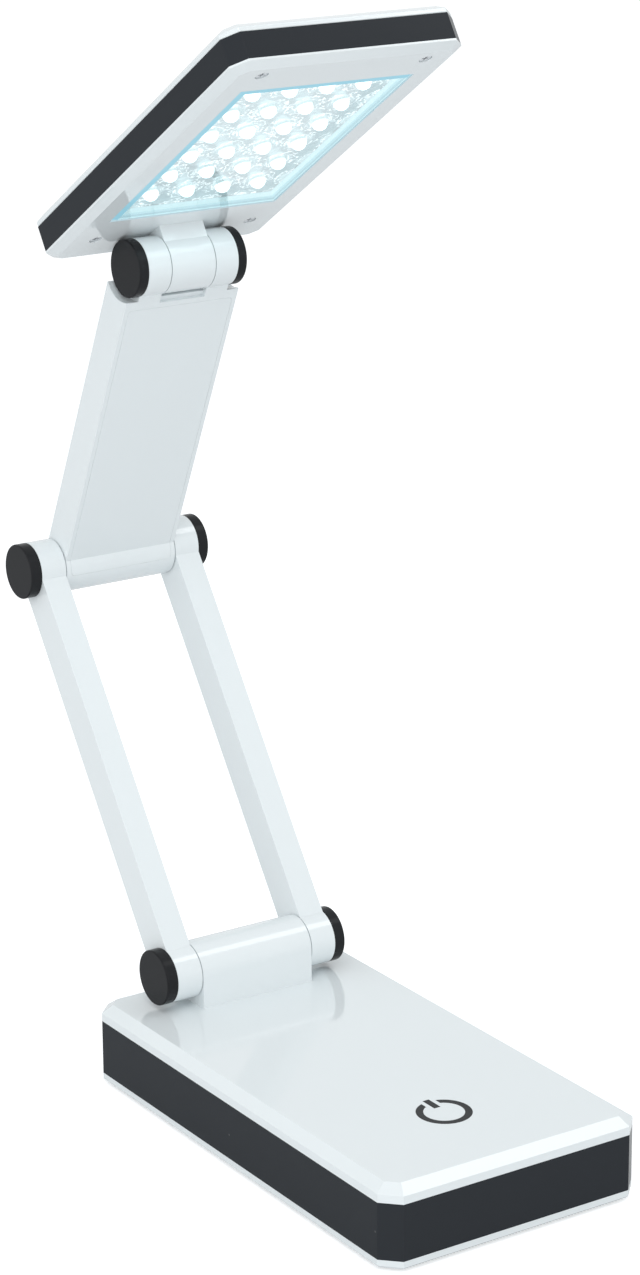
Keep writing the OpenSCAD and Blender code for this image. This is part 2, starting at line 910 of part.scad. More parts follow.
module right_rail_cover() color(white) at_base_hinge(lower_angle) rail_cover();

module left_rail_cover() color(white) at_base_hinge(lower_angle) mirror([1, 0, 0]) rail_cover();

module lower_arm_wires() color([0.75, 0.12, 0.10]) {
    at_base_hinge(lower_angle)
        for (y = [-wire_offset, wire_offset])
            strand(rounded([
                [-1, y, 0], [-wide_wire_x, y, 0],
                [-wide_wire_x, y, lower_len], [-1, y, lower_len]
            ], wire_bend), wire_d, [0, 1, 0]);
}

// ---------------------------------------------------------------- upper arm

// Outside of the upper arm without its ears
module arm_outline() {
    across(-upper_w / 2, upper_w / 2)
        translate([-upper_t / 2, 0])
            square([upper_t, arm_end]);
    bar_x(-pedestal_w / 2, pedestal_w / 2, barrel_d);
}

// Space of the front cover; gap widens it on its sides
module arm_cover_space(gap) {
    r = arm_cover_corner;
    slab(-barrel_d, -upper_t / 2 + arm_cover_t)
        offset(r = r + gap)
            translate([-cover_half_w + r, arm_cover_start + r])
                square([2 * (cover_half_w - r), arm_cover_end - arm_cover_start - 2 * r]);
}

module at_arm_screws() {
    for (z = arm_screw_z)
        translate([0, 0, z])
            children();
}

module upper_arm_housing() color(white) at_elbow(upper_angle) {
    difference() {
        union() {
            arm_outline();
            // Ears round the neck axle, with their roots in the box
            mirrored_x()
                across(ear_in, ear_out) {
                    translate([0, upper_len])
                        circle(d = neck_d);
                    translate([-upper_t / 2, arm_end - over])
                        square([upper_t, upper_len - arm_end + over]);
                }
        }
        arm_cover_space(fit_gap / 3);
        // Hollow for the wires
        difference() {
            block([-cover_half_w + 0.8, -upper_t / 2, arm_hollow_start],
                [cover_half_w - 0.8, upper_t / 2 - upper_wall, arm_hollow_end]);
            at_arm_screws()
                bar_y(0, upper_t / 2, arm_boss_d);
        }
        // Screw holes from the back
        at_arm_screws() {
            bar_y(-over, upper_t, screw_d + 0.5);
            bar_y(arm_head_y, upper_t, screw_head_d + 0.6);
        }
        // Elbow bore and the wires' way out of it
        bar_x(-pedestal_w / 2 - over, pedestal_w / 2 + over, bearing_d);
        block([-4, -2.5, 0], [4, 2.5, arm_hollow_start + over]);
        // Neck: room for the knuckle and the caps, bore, nut pockets and wire way
        translate([0, 0, upper_len]) {
            bar_x(-ear_in, ear_in, neck_d + 2 * slot_gap);
            // Notch in the front face below the knuckle
            block([-ear_in, -upper_t / 2 - over, arm_end - upper_len - notch_h],
                [ear_in, -upper_t / 2 + notch_d, 0]);
            mirrored_x() {
                bar_x(ear_out, upper_w, neck_d + 2 * scoop_gap);
                bar_x(ear_in - over, ear_out + over, bearing_d);
                bar_x(ear_out - pocket_depth, ear_out + over, pocket_d);
            }
        }
        block([-neck_axle_end - wire_way, -wire_offset - wire_way / 2, arm_hollow_end - over],
            [-neck_axle_end, wire_offset + wire_way / 2, upper_len]);
    }
}

module upper_arm_cover() color(white) at_elbow(upper_angle) {
    difference() {
        union() {
            intersection() {
                arm_outline();
                arm_cover_space(0);
            }
            at_arm_screws()
                bar_y(-upper_t / 2 + arm_cover_t - over, -washer_gap, arm_boss_d);
        }
        at_arm_screws()
            bar_y(-upper_t / 2 + arm_cover_t - 0.5, 0, screw_d + 2 * pilot_gap);
    }
}

module upper_arm_screws() color(steel) at_elbow(upper_angle)
    at_arm_screws()
        translate([0, arm_head_y, 0])
            rotate([90, 0, 0])
                screw(arm_screw_l, screw_d, screw_head_d, screw_head_h);

module upper_arm_wires() color([0.75, 0.12, 0.10]) at_elbow(upper_angle) {
    turn_z = arm_hollow_end - 4;
    for (y = [-wire_offset, wire_offset])
        strand(rounded([
            [-3, y, wire_start], [-3, y, arm_hollow_start + 4], [-8, y, arm_hollow_start + 10],
            [-8, y, turn_z - 10], [-neck_wire_x, y, turn_z],
            [-neck_wire_x, y, upper_len], [-1, y, upper_len]
        ], wire_bend), wire_d, [0, 1, 0]);
}

// ---------------------------------------------------------------- head

module at_head_screws() {
    for (x = [-head_screw_x, head_screw_x], z = head_screw_z)
        translate([x, 0, z])
            children();
}

module window_plan(grow = 0) {
    translate([-window_w / 2 - grow, window_z0 - grow])
        square([window_w + 2 * grow, window_l + 2 * grow]);
}

module head_front_cover() color(white) at_neck(head_angle) {
    difference() {
        union() {
            hull() {
                slab(y_front_band - front_rim_h, y_front_band)
                    head_plan();
                slab(y_face, y_face + slice)
                    head_plan(head_bevel_w);
            }
            // Knuckle and the tab that joins it to the cover
            bar_x(-knuckle_w / 2, knuckle_w / 2, neck_d);
            block([-knuckle_w / 2, 0, -tab_back], [knuckle_w / 2, y_face + over, tab_front]);
            // Lip inside the band
            slab(y_front_band - over, y_front_band + lip_h)
                difference() {
                    head_plan(band_t + fit_gap);
                    head_plan(cover_wall);
                }
        }
        // Hollow behind the plate
        slab(y_face + head_wall, y_front_band + over)
            head_plan(cover_wall);
        slab(y_face - over, y_face + head_wall + over)
            window_plan();
        bar_x(-knuckle_w / 2 - over, knuckle_w / 2 + over, bearing_d);
        // Wires' way up through the tab
        block([-2.2, 0, -2.2], [2.2, y_face + head_wall + over, 2.2]);
        at_head_screws() {
            bar_y(y_face - over, y_head_screw, small_head_d + 0.4);
            bar_y(y_face, y_face + head_wall + over, small_screw_d + 0.4);
        }
    }
    // Screw bosses, with the heads sunk in the lit face
    difference() {
        at_head_screws()
            bar_y(y_face + head_wall - over, head_boss_split, head_boss_d);
        at_head_screws() {
            bar_y(y_face, y_head_screw, small_head_d + 0.4);
            bar_y(y_face, head_boss_split + over, small_screw_d + 0.4);
        }
    }
}

module head_side_band() color(black) at_neck(head_angle)
    slab(y_front_band, y_back_band)
        difference() {
            head_plan();
            head_plan(band_t);
        }

module head_back_cover() color(white) at_neck(head_angle) {
    difference() {
        union() {
            hull() {
                slab(y_back_band, y_back_band + back_rim_h)
                    head_plan();
                slab(y_back - slice, y_back)
                    head_plan(head_bevel_w);
            }
            slab(y_back_band - lip_h, y_back_band + over)
                difference() {
                    head_plan(band_t + fit_gap);
                    head_plan(cover_wall);
                }
        }
        slab(y_back_band - over, y_hollow_back)
            head_plan(cover_wall);
    }
    difference() {
        at_head_screws()
            bar_y(head_boss_split + washer_gap, y_hollow_back + over, head_boss_d);
        at_head_screws()
            bar_y(head_boss_split, y_head_screw + head_screw_l + 0.4,
                small_screw_d + 2 * pilot_gap);
    }
    // Ribs that hold the light board
    mirrored_x()
        block([window_w / 2, y_board + head_board_t + washer_gap, window_z0 + 4],
            [window_w / 2 + tray_wall, y_hollow_back + over, window_z1 - 4]);
}

module window_pane() color([0.80, 0.95, 0.98, 0.35]) at_neck(head_angle) {
    slab(y_face + pane_recess, y_face + head_wall + over)
        window_plan(-fit_gap / 2);
    slab(y_face + head_wall, pane_back)
        window_plan(pane_flange);
}

module at_leds() {
    for (i = [0:led_cols - 1], k = [0:led_rows - 1])
        translate([(i - (led_cols - 1) / 2) * led_pitch_x, 0,
            window_mid + (k - (led_rows - 1) / 2) * led_pitch_z])
            children();
}

module reflector_tray() color(steel) at_neck(head_angle) {
    slab(pane_back, y_board - washer_gap)
        difference() {
            window_plan(pane_flange);
            window_plan(pane_flange - tray_wall);
        }
    // Floor with a cup round each light
    difference() {
        slab(y_reflector, y_reflector + cup_depth)
            window_plan(over);
        at_leds() {
            translate([0, y_reflector - slice, 0])
                rotate([-90, 0, 0])
                    cylinder(h = cup_depth + 2 * slice, r1 = cup_r, r2 = led_d / 2 + 0.3);
        }
    }
}

module led_board() color(green) at_neck(head_angle)
    slab(y_board, y_board + head_board_t)
        window_plan(pane_flange);

// Light with a round dome that points to the front
module leds() color([0.92, 0.98, 1.0]) at_neck(head_angle)
    at_leds()
        translate([0, y_board, 0])
            rotate([90, 0, 0])
                rotate_extrude() {
                    square([led_d / 2, led_h - led_d / 2]);
                    intersection() {
                        translate([0, led_h - led_d / 2])
                            circle(d = led_d);
                        square([led_d / 2, led_h]);
                    }
                }

module led_resistors() color(black) at_neck(head_angle)
    for (k = [0:led_rows - 1])
        translate([0, 0, window_mid + (k - (led_rows - 1) / 2) * led_pitch_z])
            block([10, y_board + head_board_t, 2], [13.2, y_board + head_board_t + 0.6, 3.6]);

module head_screws() color(steel) at_neck(head_angle)
    at_head_screws()
        translate([0, y_head_screw, 0])
            rotate([-90, 0, 0])
                screw(head_screw_l, small_screw_d, small_head_d, small_head_h);

module head_wires() color([0.75, 0.12, 0.10]) at_neck(head_angle) {
    run_y = y_board + head_board_t + wire_d / 2 + washer_gap;
    for (x = [-wire_offset, wire_offset])
        strand(rounded([
            [x, wire_start, 0], [x, run_y, 0], [x, run_y, window_z0 + 4]
        ], wire_bend), wire_d, [1, 0, 0]);
}

base_bottom_cover();
battery_door();
base_side_band();
base_top_cover();
power_mark();
touch_spring();
control_board();
board_parts();
power_socket();
battery_cells();
battery_contacts();
battery_springs();
base_screws();
rubber_feet();
base_wires();
base_axle();
base_axle_nuts();
base_washers();
left_rail();
right_rail();
left_rail_cover();
right_rail_cover();
base_hinge_caps();
elbow_caps();
lower_arm_wires();
elbow_axle();
elbow_axle_nuts();
elbow_washers();
upper_arm_housing();
upper_arm_cover();
upper_arm_screws();
neck_caps();
upper_arm_wires();
neck_axle();
neck_axle_nuts();
neck_washers();
head_front_cover();
head_side_band();
head_back_cover();
window_pane();
reflector_tray();
led_board();
leds();
led_resistors();
head_screws();
head_wires();
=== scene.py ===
"""Looks of a folding desk lamp: glossy white shells, dark bands, black caps and a lit head."""
import json
import math

import bmesh
import bpy
import numpy as np
from mathutils import Matrix, Vector


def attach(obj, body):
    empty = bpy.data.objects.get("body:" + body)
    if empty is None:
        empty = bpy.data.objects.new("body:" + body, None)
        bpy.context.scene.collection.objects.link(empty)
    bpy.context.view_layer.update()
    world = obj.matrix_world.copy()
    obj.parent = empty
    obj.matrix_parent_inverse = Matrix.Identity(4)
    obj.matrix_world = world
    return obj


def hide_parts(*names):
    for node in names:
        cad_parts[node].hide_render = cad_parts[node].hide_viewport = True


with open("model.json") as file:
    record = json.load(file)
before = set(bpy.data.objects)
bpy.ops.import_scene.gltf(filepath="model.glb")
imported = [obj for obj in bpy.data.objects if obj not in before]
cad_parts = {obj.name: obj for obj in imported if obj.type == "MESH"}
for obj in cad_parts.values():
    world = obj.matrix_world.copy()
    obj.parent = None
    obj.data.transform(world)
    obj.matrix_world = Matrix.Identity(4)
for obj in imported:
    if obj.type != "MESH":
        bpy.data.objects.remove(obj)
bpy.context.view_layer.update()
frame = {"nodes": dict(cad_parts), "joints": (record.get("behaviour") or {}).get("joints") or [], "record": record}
NODES = frame["nodes"]
JOINTS = {joint["name"]: joint for joint in frame["joints"]}
SLOT_OF = {part["node"]: part["material_slot"] for part in frame["record"]["subparts"]}
BODIES = frame["record"]["behaviour"]["bodies"]
BODY_OF = {name: body for body, names in BODIES.items() for name in names}
MM = 0.001

# ---------------------------------------------------------------- camera

IMAGE_HEIGHT = 1275
FOCAL_PIXELS = 3528.24
SENSOR = 36.0
CAMERA_AT = Vector((-516.155, -795.631, 437.945)) * MM
AZIMUTH, ELEVATION, ROLL = (math.radians(a) for a in (-33.479, 17.421, -0.328))
SEES_TO = 50


def place_camera():
    """Stands the camera at CAMERA_AT: its back points along azimuth and elevation, and it rolls."""
    back = Vector((
        math.sin(AZIMUTH) * math.cos(ELEVATION),
        -math.cos(AZIMUTH) * math.cos(ELEVATION),
        math.sin(ELEVATION),
    ))
    right = (-back).cross(Vector((0, 0, 1))).normalized()
    up = back.cross(right)
    rolled_right = math.cos(ROLL) * right + math.sin(ROLL) * up
    rolled_up = math.cos(ROLL) * up - math.sin(ROLL) * right
    data = bpy.data.cameras.new("camera")
    data.sensor_fit = "VERTICAL"
    data.sensor_height = SENSOR
    data.lens = FOCAL_PIXELS / IMAGE_HEIGHT * SENSOR
    data.clip_end = SEES_TO
    camera = bpy.data.objects.new("camera", data)
    turn = Matrix((rolled_right, rolled_up, back)).transposed().to_4x4()
    camera.matrix_world = Matrix.Translation(CAMERA_AT) @ turn
    bpy.context.scene.collection.objects.link(camera)
    bpy.context.scene.camera = camera


place_camera()

# ---------------------------------------------------------------- frames of the moving pieces

LOWER_ANGLE, UPPER_ANGLE, HEAD_ANGLE = (math.radians(a) for a in (125.2, 65.4, 32.8))


def frame_at(joint, angle):
    """Placement of a piece's own frame: X along its hinge, Z along the piece, -Y on its front."""
    turn = Matrix.Rotation(math.pi / 2 - angle, 4, "X")
    return Matrix.Translation(JOINTS[joint]["pos_m"]) @ turn


BASE = Matrix()
LOWER_ARM = frame_at("base_tilt", LOWER_ANGLE)
UPPER_ARM = frame_at("elbow_tilt", UPPER_ANGLE)
HEAD = frame_at("neck_tilt", HEAD_ANGLE)


def span(name, place):
    """(lowest corner, highest corner) of a CAD node in a piece's own frame, in metres."""
    mesh = NODES[name].data
    points = np.empty(len(mesh.vertices) * 3, dtype=np.float32)
    mesh.vertices.foreach_get("co", points)
    turn = np.array(place.inverted())
    points = points.reshape(-1, 3) @ turn[:3, :3].T + turn[:3, 3]
    return points.min(axis=0), points.max(axis=0)


# ---------------------------------------------------------------- material tools


def linear(r, g, b):
    """A screen colour of 0 to 255 as a linear RGBA colour, by the sRGB curve."""
    def one(c):
        c /= 255
        return c / 12.92 if c <= 0.04045 else ((c + 0.055) / 1.055) ** 2.4
    return (one(r), one(g), one(b), 1.0)


def scaled(colour, share):
    """A linear colour times a number, as opaque RGBA."""
    return tuple(share * c for c in colour[:3]) + (1.0,)


def shader(name, values):
    """A material whose Principled shader has these plain values. Returns the material, its tree and
    the shader's input sockets."""
    material = bpy.data.materials.new(name)
    material.use_nodes = True
    sockets = material.node_tree.nodes["Principled BSDF"].inputs
    for key, value in values.items():
        sockets[key].default_value = value
    return material, material.node_tree, sockets


# The tools that follow add nodes. Each input is a value, or the output socket of another node.

# The places of a Mix node's colour sockets
MIX_LOW, MIX_HIGH, MIX_RESULT = 6, 7, 2


def feed(tree, socket, value):
    """Sets an input socket to a value, or links it to the output socket that is given instead."""
    if isinstance(value, bpy.types.NodeSocket):
        tree.links.new(value, socket)
    else:
        socket.default_value = value


def node(tree, kind, settings=None, inputs=None):
    """A shader node with its settings and what its inputs are fed with."""
    new = tree.nodes.new("ShaderNode" + kind)
    for key, value in (settings or {}).items():
        setattr(new, key, value)
    for key, value in (inputs or {}).items():
        feed(tree, new.inputs[key], value)
    return new


def maths(tree, operation, *inputs):
    """The result of an operation on one to three numbers."""
    return node(tree, "Math", {"operation": operation}, dict(enumerate(inputs))).outputs[0]


def times(tree, a, b):
    """The product of two numbers."""
    return maths(tree, "MULTIPLY", a, b)


def vector_maths(tree, operation, *inputs):
    """An operation on one or two vectors. Its result is in Vector, but a length is in Value."""
    return node(tree, "VectorMath", {"operation": operation}, dict(enumerate(inputs))).outputs


def spread(tree, fac, low, high):
    """Maps a factor of 0 to 1 onto low to high."""
    mix = node(tree, "Mix", {"data_type": "FLOAT"}, {"Factor": fac, "A": low, "B": high})
    return mix.outputs["Result"]


def blend(tree, fac, low, high):
    """Mixes two linear colours by a factor of 0 to 1."""
    mix = node(tree, "Mix", {"data_type": "RGBA"}, {"Factor": fac, MIX_LOW: low, MIX_HIGH: high})
    return mix.outputs[MIX_RESULT]


def ramp(tree, value, zero_at, one_at):
    """A smooth step of a value: 0 at one end of a range, 1 at the other."""
    step = node(tree, "MapRange", {"interpolation_type": "SMOOTHSTEP"},
                {"Value": value, "From Min": zero_at, "From Max": one_at})
    return step.outputs["Result"]


def hump(tree, value, middle, half):
    """A smooth hump of a value: 1 at the middle, 0 a half width to either side."""
    off = maths(tree, "ABSOLUTE", maths(tree, "SUBTRACT", value, middle))
    return ramp(tree, off, half, 0.0)


def on_object(tree):
    """The point in the piece's own coordinates, in metres."""
    return node(tree, "TexCoord").outputs["Object"]


def noise(tree, point, scale, detail, roughness=0.5):
    """Noise of about 0 to 1 at a point."""
    clouds = node(tree, "TexNoise", None, {
        "Vector": point, "Scale": scale, "Detail": detail, "Roughness": roughness})
    return clouds.outputs["Fac"]


def bump(tree, height, strength, relief):
    """A normal that follows a height of 0 to 1, which stands for a relief in metres."""
    relieved = node(tree, "Bump", None, {
        "Height": height, "Strength": strength, "Distance": relief})
    return relieved.outputs["Normal"]


# ---------------------------------------------------------------- effects that materials share

NUMBER, COLOUR = "NodeSocketFloat", "NodeSocketColor"


def new_group(name, inputs, outputs):
    """A shader node group. inputs are (name, default), outputs (name, socket type). Returns its
    tree, the sockets that bring its inputs in, and those that its outputs are fed to."""
    tree = bpy.data.node_groups.new(name, "ShaderNodeTree")
    for label, default in inputs:
        kind = COLOUR if isinstance(default, tuple) else NUMBER
        socket = tree.interface.new_socket(label, in_out="INPUT", socket_type=kind)
        socket.default_value = default
    for label, kind in outputs:
        tree.interface.new_socket(label, in_out="OUTPUT", socket_type=kind)
    given = tree.nodes.new("NodeGroupInput").outputs
    put = tree.nodes.new("NodeGroupOutput").inputs
    return tree, given, put


def place_group(tree, group, inputs=None):
    """A group placed in a material with its own values. Returns its output sockets."""
    return node(tree, "Group", {"node_tree": group}, inputs).outputs


def make_moulded_grain():
    """Moulded plastic: fine orange peel as Height, and slow blotches, which mix Colour with up to
    Tint share of Tint and spread Roughness from Smooth to Rough."""
    tree, given, put = new_group(
        "moulded_grain",
        [("Colour", (0.8, 0.8, 0.8, 1)), ("Tint", (0.7, 0.7, 0.7, 1)), ("Tint share", 0.1),
         ("Grain scale", 2500.0), ("Blotch scale", 40.0), ("Smooth", 0.1), ("Rough", 0.2)],
        [("Colour", COLOUR), ("Roughness", NUMBER), ("Height", NUMBER)])
    point = on_object(tree)
    blotches = noise(tree, point, given["Blotch scale"], detail=4.0, roughness=0.6)
    share = times(tree, blotches, given["Tint share"])
    feed(tree, put["Colour"], blend(tree, share, given["Colour"], given["Tint"]))
    feed(tree, put["Roughness"], spread(tree, blotches, given["Smooth"], given["Rough"]))
    feed(tree, put["Height"], noise(tree, point, given["Grain scale"], detail=2.0))
    return tree


def make_hairlines():
    """Fine rubbed lines along X: noise whose point is stretched in Y and Z. It is the Height, and
    Amount times it is the Mask."""
    tree, given, put = new_group(
        "hairlines", [("Scale", 300.0), ("Stretch", 20.0), ("Amount", 0.5)],
        [("Mask", NUMBER), ("Height", NUMBER)])
    stretch = node(tree, "CombineXYZ", None, {
        "X": 1.0, "Y": given["Stretch"], "Z": given["Stretch"]}).outputs["Vector"]
    point = vector_maths(tree, "MULTIPLY", on_object(tree), stretch)["Vector"]
    lines = noise(tree, point, given["Scale"], detail=3.0, roughness=0.65)
    feed(tree, put["Mask"], times(tree, lines, given["Amount"]))
    feed(tree, put["Height"], lines)
    return tree


def make_specks():
    """Sparse dust: Mask is 1 near the middle of a Voronoi cell, within Size, in a Share of cells."""
    tree, given, put = new_group(
        "specks", [("Scale", 400.0), ("Size", 0.12), ("Share", 0.05)], [("Mask", NUMBER)])
    cells = node(tree, "TexVoronoi", None, {
        "Vector": on_object(tree), "Scale": given["Scale"]}).outputs
    close = maths(tree, "LESS_THAN", cells["Distance"], given["Size"])
    draw = node(tree, "SeparateColor", None, {"Color": cells["Color"]}).outputs["Red"]
    few = maths(tree, "LESS_THAN", draw, given["Share"])
    feed(tree, put["Mask"], times(tree, close, few))
    return tree


FACE_Y = 8.8 * MM
LIGHT_PITCH = (11.8 * MM, 12.7 * MM)
LIGHTS_LOW, LIGHTS_HIGH = span("leds", HEAD)
LIGHTS_Z = (LIGHTS_LOW[2] + LIGHTS_HIGH[2]) / 2
WAVER_SCALE = 700.0


def make_light_field():
    """Distance from the nearest light, which wavers by noise, Mask from 0 at Far to 1 at Near, and
    Depth behind the lit face. Lengths are in metres. The point is turned into the head's frame and
    wrapped into one cell of the lights' grid."""
    tree, given, put = new_group(
        "light_field", [("Near", 0.0025), ("Far", 0.006), ("Waver", 0.0)],
        [("Mask", NUMBER), ("Distance", NUMBER), ("Depth", NUMBER)])
    across, along = LIGHT_PITCH
    point = on_object(tree)
    in_head = node(tree, "Mapping", {"vector_type": "TEXTURE"}, {
        "Vector": point, "Location": HEAD @ Vector((0, 0, LIGHTS_Z)),
        "Rotation": (math.pi / 2 - HEAD_ANGLE, 0, 0), "Scale": (across, 1, along)}).outputs["Vector"]
    cell = vector_maths(tree, "FRACTION", in_head)["Vector"]
    centred = vector_maths(tree, "SUBTRACT", cell, (0.5, 0.5, 0.5))["Vector"]
    flat = vector_maths(tree, "MULTIPLY", centred, (across, 0, along))["Vector"]
    distance = vector_maths(tree, "LENGTH", flat)["Value"]
    swing = node(tree, "MapRange", None, {
        "Value": noise(tree, point, WAVER_SCALE, detail=1.0), "To Min": -0.5, "To Max": 0.5})
    wavered = maths(tree, "MULTIPLY_ADD", swing.outputs["Result"], given["Waver"], distance)
    y = node(tree, "SeparateXYZ", None, {"Vector": in_head}).outputs["Y"]
    feed(tree, put["Mask"], ramp(tree, distance, given["Far"], given["Near"]))
    feed(tree, put["Distance"], wavered)
    feed(tree, put["Depth"], maths(tree, "SUBTRACT", y, FACE_Y))
    return tree


GRAIN = make_moulded_grain()
HAIRLINES = make_hairlines()
SPECKS = make_specks()
LIGHT_FIELD = make_light_field()

# ---------------------------------------------------------------- plastics and metals

SKIN_RELIEF = 0.1 * MM


def plastic(name, colour, tint, smooth, rough, tint_share=0.2, grain=2500.0, blotch=40.0,
            strength=0.05, coat=0.0, dust=0.0, dust_colour=(200, 204, 206), ior=1.5):
    """Moulded plastic: grain in its normal, blotches in colour and roughness, and a little dust."""
    material, tree, sockets = shader(name, {
        "IOR": ior, "Coat Weight": coat, "Coat Roughness": 0.05})
    skin = place_group(tree, GRAIN, {
        "Colour": linear(*colour), "Tint": linear(*tint), "Tint share": tint_share,
        "Grain scale": grain, "Blotch scale": blotch, "Smooth": smooth, "Rough": rough})
    surface = skin["Colour"]
    if dust:
        specks = place_group(tree, SPECKS, {"Share": dust})
        surface = blend(tree, specks["Mask"], surface, linear(*dust_colour))
    feed(tree, sockets["Base Color"], surface)
    feed(tree, sockets["Roughness"], skin["Roughness"])
    feed(tree, sockets["Normal"], bump(tree, skin["Height"], strength, SKIN_RELIEF))
    return material


def metal(name, colour, smooth, rough, stretch=20.0, scale=300.0):
    """Metal with rubbed hairlines that vary its roughness and its normal."""
    material, tree, sockets = shader(name, {"Metallic": 1.0, "Base Color": linear(*colour)})
    lines = place_group(tree, HAIRLINES, {"Scale": scale, "Stretch": stretch, "Amount": 1.0})
    feed(tree, sockets["Roughness"], spread(tree, lines["Mask"], smooth, rough))
    feed(tree, sockets["Normal"], bump(tree, lines["Height"], 0.15, SKIN_RELIEF))
    return material


WHITE = plastic("glossy_white", (232, 238, 240), (224, 232, 235), 0.05, 0.11,
                coat=0.3, strength=0.02)
BAND = plastic("dark_band", (50, 53, 57), (43, 46, 50), 0.10, 0.18, strength=0.03, dust=0.004,
               dust_colour=(80, 82, 84), ior=1.13)
CAP = plastic("black_cap", (40, 41, 43), (32, 33, 35), 0.14, 0.24, strength=0.05, dust=0.006,
              dust_colour=(84, 86, 88), ior=1.17)
MARK = plastic("printed_mark", (30, 32, 34), (38, 40, 42), 0.35, 0.5, strength=0.05, ior=1.3)
PARTS = plastic("black_parts", (22, 22, 24), (40, 40, 42), 0.4, 0.55)
BOARD = plastic("circuit_board", (20, 92, 52), (12, 66, 38), 0.3, 0.45,
                blotch=120.0, tint_share=0.6)
SLEEVE = plastic("battery_sleeve", (196, 142, 72), (170, 116, 54), 0.25, 0.35, coat=0.3)
RUBBER = plastic("foot_rubber", (36, 36, 38), (52, 52, 54), 0.6, 0.8,
                 grain=1500.0, strength=0.3, dust=0.05)
WASHER = plastic("friction_washer", (232, 236, 238), (214, 220, 224), 0.4, 0.6)
WIRE = plastic("wire_insulation", (178, 34, 30), (150, 26, 24), 0.3, 0.4)
STEEL = metal("axle_steel", (190, 192, 196), 0.2, 0.4)
ZINC = metal("screw_steel", (226, 229, 232), 0.3, 0.55, stretch=4.0, scale=900.0)
CONTACT = metal("contact_metal", (206, 206, 204), 0.15, 0.3)

# ---------------------------------------------------------------- the lit head
# Depths are counted back from the lit face.

TRAY_FLOOR = 5.0 * MM
TRAY_RELIEF = 0.6 * MM
WALL_COLOUR = linear(40, 48, 50)
# Painted light on the walls: emission with a darker line half way down and a dimmer foot
WALL_LINE, WALL_LINE_HALF = 2.6 * MM, 1.0 * MM
WALL_FOOT = 4.4 * MM
WALL_FROM, WALL_FULL = TRAY_FLOOR - 0.1 * MM, TRAY_FLOOR - 0.2 * MM
# Painted reflections of the lights on the tray: bright rings at these distances, their half width, and the noise
# range that breaks them
PAINTED_REFLECTION_RINGS = (3.4 * MM, 5.2 * MM)
PAINTED_REFLECTION_HALF = 0.5 * MM
PAINTED_REFLECTION_NOISE = (0.40, 0.50)


def painted_wall_light(tree, depth):
    """Painted light on the walls by depth: bright, a darker line half way down, and a dimmer foot."""
    foot = ramp(tree, depth, WALL_FOOT, TRAY_FLOOR)
    bright = blend(tree, foot, linear(212, 245, 250), linear(196, 226, 232))
    return blend(tree, hump(tree, depth, WALL_LINE, WALL_LINE_HALF), bright, linear(176, 214, 224))


def make_tray_with_painted_light():
    """Metallised floor with a painted glow round each light and bright curls, which are painted
    reflections of the lights: rings round the lights that noise bends and breaks. Above the floor,
    the walls are dark plastic with painted pale blue light."""
    material, tree, sockets = shader("mirror_tray", {"Emission Strength": 1.0})
    skin = place_group(tree, GRAIN, {
        "Colour": linear(164, 172, 174), "Tint": linear(120, 130, 133), "Tint share": 1.0,
        "Grain scale": 420.0, "Blotch scale": 300.0, "Smooth": 0.22, "Rough": 0.4})
    field = place_group(tree, LIGHT_FIELD, {
        "Near": 2.2 * MM, "Far": 5.2 * MM, "Waver": 4.6 * MM})
    wall = ramp(tree, field["Depth"], WALL_FROM, WALL_FULL)
    inner, outer = (hump(tree, field["Distance"], ring, PAINTED_REFLECTION_HALF) for ring in PAINTED_REFLECTION_RINGS)
    kept = ramp(tree, skin["Height"], *PAINTED_REFLECTION_NOISE)
    # Painted reflections of the lights, as bright emitted rings
    painted_reflections = times(tree, maths(tree, "MAXIMUM", inner, outer), kept)
    # Painted light: a glow round each light, emitted by the tray itself
    glow = blend(tree, field["Mask"], linear(128, 140, 143), linear(172, 190, 192))
    glow = blend(tree, painted_reflections, glow, linear(252, 255, 255))
    # All of this emission is painted light: the glow, the reflections of the lights and the walls' light
    feed(tree, sockets["Emission Color"], blend(tree, wall, glow, painted_wall_light(tree, field["Depth"])))
    feed(tree, sockets["Base Color"], blend(tree, wall, skin["Colour"], WALL_COLOUR))
    feed(tree, sockets["Metallic"], spread(tree, wall, 1.0, 0.0))
    feed(tree, sockets["Roughness"], skin["Roughness"])
    feed(tree, sockets["Normal"], bump(tree, skin["Height"], 0.5, TRAY_RELIEF))
    return material


LIGHT_POWER = 2.5
DOME_FROM, DOME_FULL = 5.0 * MM, 4.5 * MM


def make_lens():
    """The lights' clear bodies: a glaring dome over the chip, and a dimmer blue-white foot."""
    material, tree, sockets = shader("led_lens", {
        "Emission Strength": LIGHT_POWER, "Base Color": linear(120, 128, 130), "Roughness": 0.25})
    depth = place_group(tree, LIGHT_FIELD)["Depth"]
    dome = ramp(tree, depth, DOME_FROM, DOME_FULL)
    foot = scaled(linear(190, 214, 218), 1 / LIGHT_POWER)
    feed(tree, sockets["Emission Color"], blend(tree, dome, foot, linear(232, 253, 255)))
    return material


def make_pane():
    """Clear acrylic, faintly blue, with a trace of haze."""
    material, tree, sockets = shader("clear_pane", {
        "Base Color": linear(250, 254, 255), "Transmission Weight": 1.0, "IOR": 1.3,
        "Metallic": 0.0})
    haze = place_group(tree, GRAIN, {"Smooth": 0.0, "Rough": 0.04, "Blotch scale": 60.0})
    feed(tree, sockets["Roughness"], haze["Roughness"])
    return material


